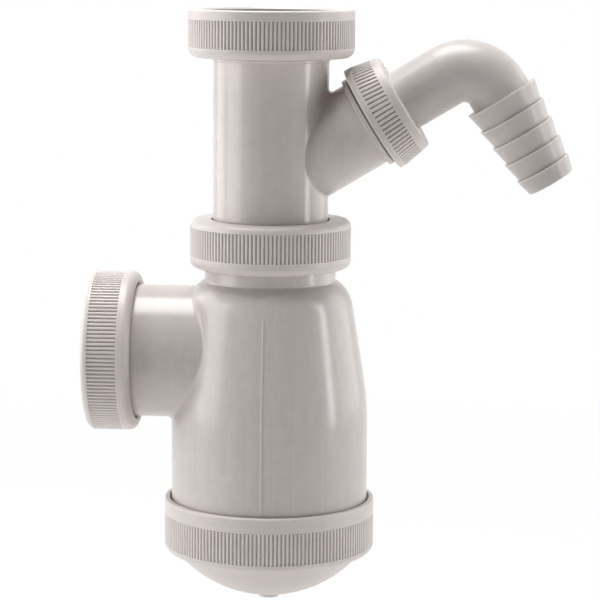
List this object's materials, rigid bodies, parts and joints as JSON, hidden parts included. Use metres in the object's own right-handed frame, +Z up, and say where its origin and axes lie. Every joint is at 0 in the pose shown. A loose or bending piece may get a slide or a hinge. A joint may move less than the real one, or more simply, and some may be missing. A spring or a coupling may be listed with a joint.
{
  "type": "bottle trap",
  "caption": "White plastic bottle trap with ribbed union nuts, a side outlet, a slanted branch with a barbed hose nozzle and a domed screw cup that opens for cleaning.",
  "frame": {"origin": "on the upright axis, at the upper face of the inlet washer, where the sink waste seals", "axes": "+Z up along the upright tube and out of the inlet nut, -X out of the side outlet, +X towards the hose branch"},
  "size_m": [0.1671, 0.0738, 0.2074],
  "materials": {
    "white_plastic": "satin",
    "seal_rubber": "matte",
    "ring_plastic": "satin"
  },
  "bodies": {
    "tee": {"inlet_tee": "white_plastic", "inlet_washer": "seal_rubber"},
    "inlet_nut": {"inlet_nut": "white_plastic"},
    "nozzle_washer": {"nozzle_washer": "seal_rubber"},
    "nozzle_nut": {"nozzle_nut": "white_plastic"},
    "nozzle": {"hose_nozzle": "white_plastic"},
    "neck_seal": {"neck_cone_seal": "seal_rubber"},
    "bottle": {"bottle_body": "white_plastic"},
    "neck_ring": {"neck_slip_ring": "ring_plastic"},
    "neck_nut": {"neck_nut": "white_plastic"},
    "outlet_seal": {"outlet_cone_seal": "seal_rubber", "outlet_slip_ring": "ring_plastic"},
    "outlet_nut": {"outlet_nut": "white_plastic"},
    "base_seal": {"base_seal": "seal_rubber"},
    "base_cup": {"base_cup": "white_plastic"}
  },
  "joints": [
    {"name": "inlet_nut_turn", "type": "hinge", "parent": "tee", "child": "inlet_nut", "pos_m": [0, 0, 0], "axis": [0, 0, 1], "continuous": true},
    {"name": "nozzle_nut_travel", "type": "slide", "parent": "tee", "child": "nozzle_washer", "axis": [0.8554, 0, 0.518], "range_m": [0, 0.00462]},
    {"name": "nozzle_nut_turn", "type": "hinge", "parent": "nozzle_washer", "child": "nozzle_nut", "pos_m": [0, 0, -0.0502], "axis": [0.8554, 0, 0.518], "range_deg": [0, 721]},
    {"name": "nozzle_swivel", "type": "hinge", "parent": "nozzle_washer", "child": "nozzle", "pos_m": [0, 0, -0.0502], "axis": [0.8554, 0, 0.518], "continuous": true},
    {"name": "height_adjust", "type": "slide", "parent": "tee", "child": "neck_seal", "axis": [0, 0, -1], "range_m": [0, 0.025]},
    {"name": "bottle_swivel", "type": "hinge", "parent": "neck_seal", "child": "bottle", "pos_m": [0, 0, 0], "axis": [0, 0, 1], "continuous": true},
    {"name": "neck_nut_travel", "type": "slide", "parent": "bottle", "child": "neck_ring", "axis": [0, 0, 1], "range_m": [0, 0.00693]},
    {"name": "neck_nut_turn", "type": "hinge", "parent": "neck_ring", "child": "neck_nut", "pos_m": [0, 0, 0], "axis": [0, 0, 1], "range_deg": [0, 1081]},
    {"name": "outlet_nut_travel", "type": "slide", "parent": "bottle", "child": "outlet_seal", "axis": [-1, 0, 0], "range_m": [0, 0.00693]},
    {"name": "outlet_nut_turn", "type": "hinge", "parent": "outlet_seal", "child": "outlet_nut", "pos_m": [0, 0, -0.1112], "axis": [-1, 0, 0], "range_deg": [0, 1081]},
    {"name": "base_cup_travel", "type": "slide", "parent": "bottle", "child": "base_seal", "axis": [0, 0, -1], "range_m": [0, 0.01]},
    {"name": "base_cup_turn", "type": "hinge", "parent": "base_seal", "child": "base_cup", "pos_m": [0, 0, 0], "axis": [0, 0, -1], "range_deg": [0, 901]}
  ],
  "couplings": [
    {"joint": "nozzle_nut_turn", "follows": "nozzle_nut_travel", "rad_per_m": 2721.1},
    {"joint": "neck_nut_turn", "follows": "neck_nut_travel", "rad_per_m": 2721.1},
    {"joint": "outlet_nut_turn", "follows": "outlet_nut_travel", "rad_per_m": 2721.1},
    {"joint": "base_cup_turn", "follows": "base_cup_travel", "rad_per_m": 1570.8}
  ]
}
